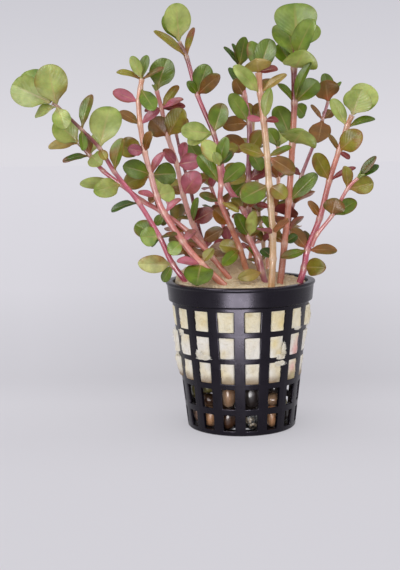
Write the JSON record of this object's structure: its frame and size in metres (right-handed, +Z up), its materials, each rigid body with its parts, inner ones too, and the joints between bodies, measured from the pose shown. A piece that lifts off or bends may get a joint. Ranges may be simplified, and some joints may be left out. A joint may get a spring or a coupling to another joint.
{
  "type": "potted rotala aquarium plant",
  "caption": "Stem plant with small round green leaves and pink stems, rooted in rock wool over pebbles in a black tapered net pot.",
  "frame": {"origin": "centre of the pot's underside, on the pot's axis", "axes": "+Z up along the pot's axis; -Y is the front that the picture shows, +X to the right seen from the front"},
  "size_m": [0.1169, 0.066, 0.1399],
  "materials": {
    "pot_plastic": "moulded black plastic, faint satin",
    "rock_wool": "cream mineral fibre",
    "pebbles": "smooth brown and grey stones",
    "plant": "waxy living leaves and stems"
  },
  "bodies": {
    "root": {"net_pot": "pot_plastic", "rock_wool": "rock_wool", "pebble_01": "pebbles", "pebble_02": "pebbles", "pebble_03": "pebbles", "pebble_04": "pebbles", "pebble_05": "pebbles", "pebble_06": "pebbles", "pebble_07": "pebbles", "pebble_08": "pebbles", "pebble_09": "pebbles", "pebble_10": "pebbles", "pebble_11": "pebbles", "pebble_12": "pebbles", "pebble_13": "pebbles", "pebble_14": "pebbles", "pebble_15": "pebbles", "pebble_16": "pebbles", "pebble_17": "pebbles", "pebble_18": "pebbles", "pebble_19": "pebbles", "pebble_20": "pebbles", "pebble_21": "pebbles", "pebble_22": "pebbles", "pebble_23": "pebbles", "pebble_24": "pebbles", "pebble_25": "pebbles", "pebble_26": "pebbles", "pebble_27": "pebbles", "pebble_28": "pebbles", "pebble_29": "pebbles", "pebble_30": "pebbles", "pebble_31": "pebbles", "shoot_far_left": "plant", "shoot_left": "plant", "shoot_peach_left": "plant", "shoot_pale_left": "plant", "shoot_pink_left": "plant", "shoot_tall_left": "plant", "shoot_centre": "plant", "shoot_thick_centre": "plant", "shoot_mid_back": "plant", "shoot_thin_peach": "plant", "shoot_tall_right": "plant", "shoot_thin_right": "plant", "shoot_right": "plant", "side_shoot_right": "plant", "shoot_back_left": "plant", "shoot_back_right": "plant", "shoot_back_low": "plant", "shoot_back_side": "plant"}
  },
  "joints": []
}
